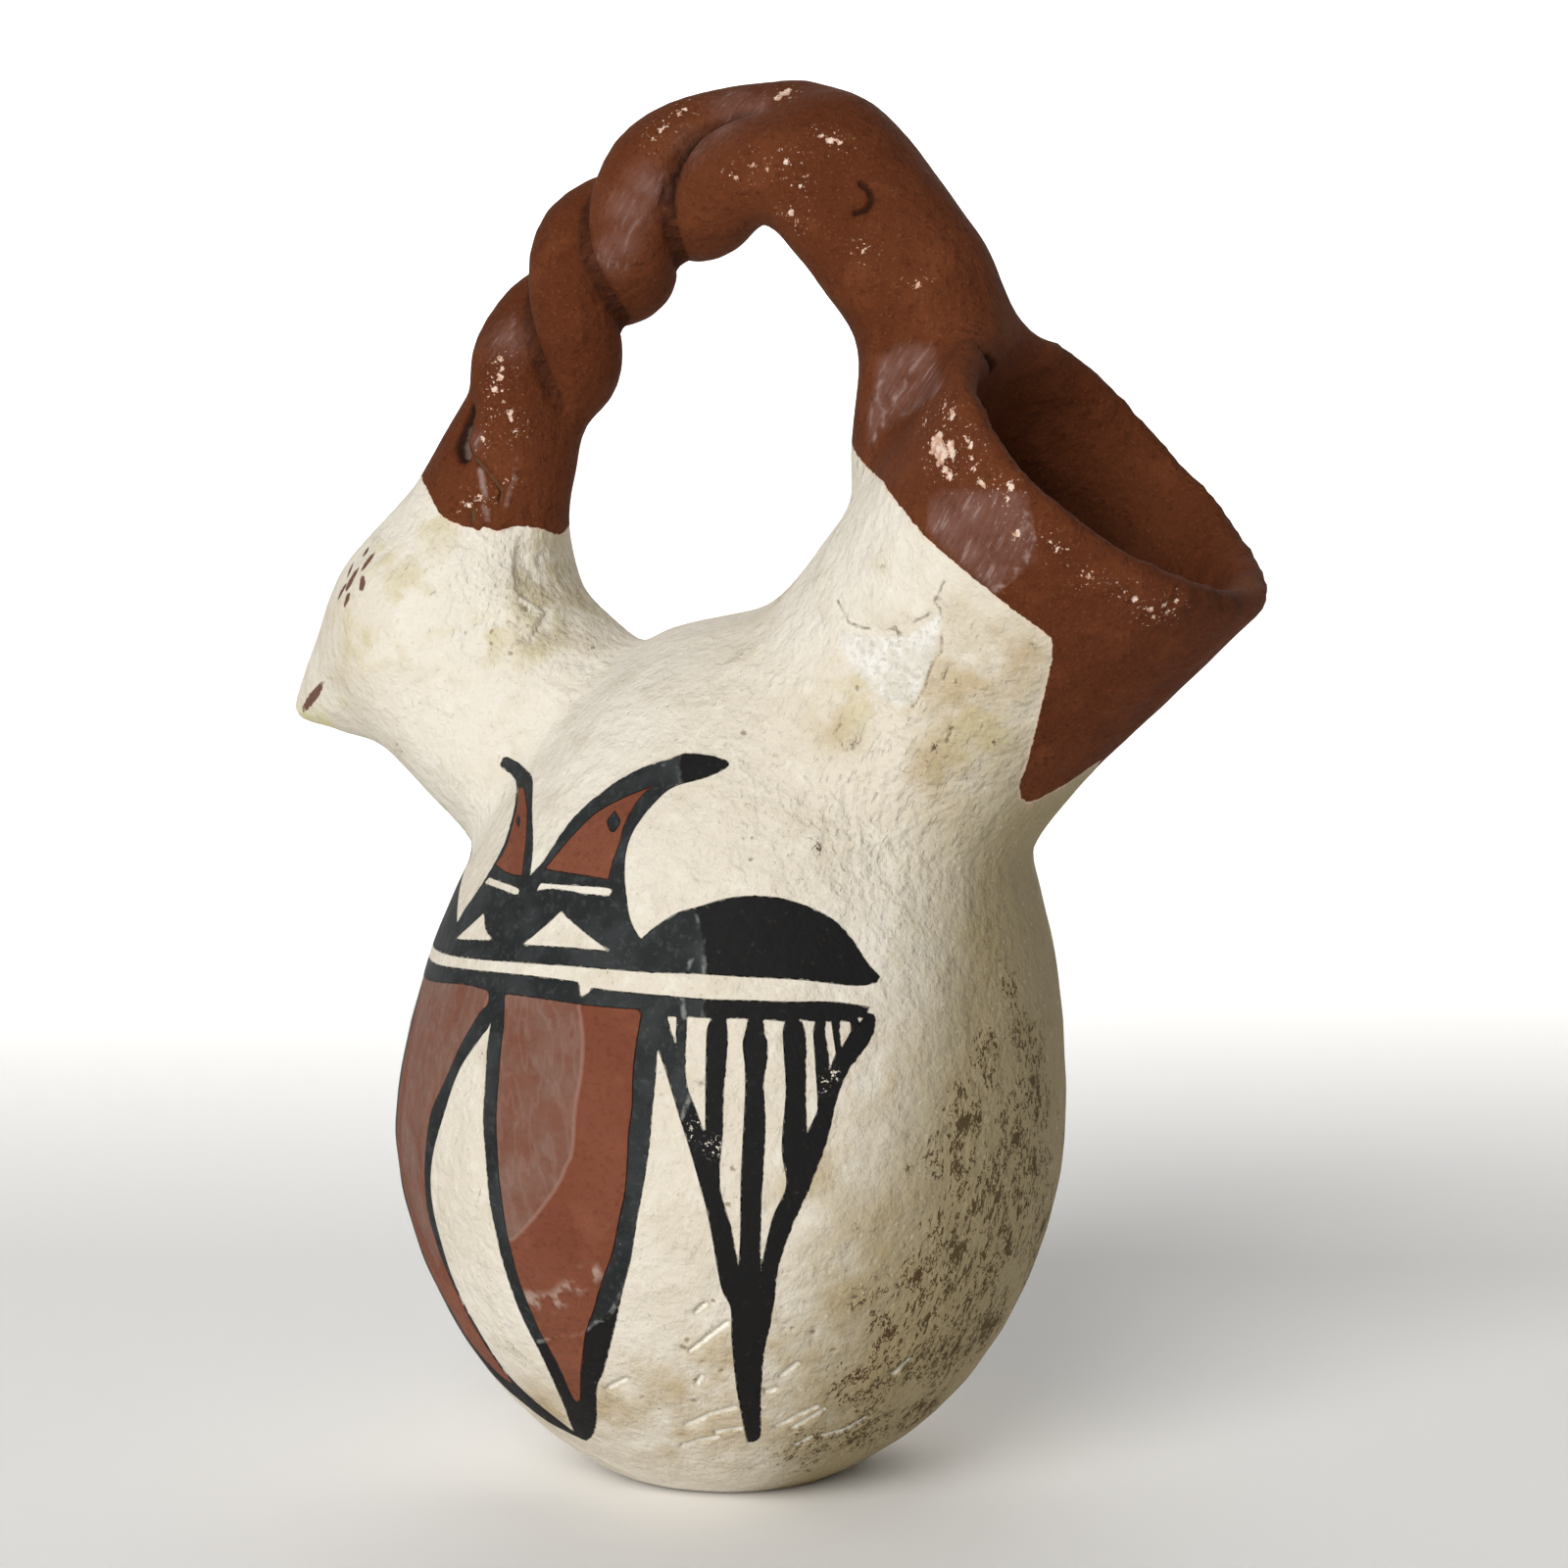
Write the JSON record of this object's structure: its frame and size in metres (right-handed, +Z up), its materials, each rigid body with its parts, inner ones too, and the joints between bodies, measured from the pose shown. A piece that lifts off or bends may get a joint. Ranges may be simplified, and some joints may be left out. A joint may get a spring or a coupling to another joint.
{
  "type": "bird effigy pot",
  "caption": "Hollow fired-clay pitcher in the shape of a bird, with a beaked head, an open flaring tail spout and a twisted arched handle, slipped cream and red-brown and painted.",
  "frame": {"origin": "the middle of the flat foot, on the surface that the pot stands on", "axes": "+Z up; -X is the way the bird looks, +X its tail spout; the pot's form is alike on both sides of the XZ plane, apart from the handle's twist"},
  "size_m": [0.127, 0.0808, 0.1659],
  "materials": {
    "painted_slip": "matt cream slip with red-brown slip on handle and spout, painted in black and red, worn and stained"
  },
  "bodies": {
    "root": {"bird_effigy_pot": "painted_slip"}
  },
  "joints": []
}
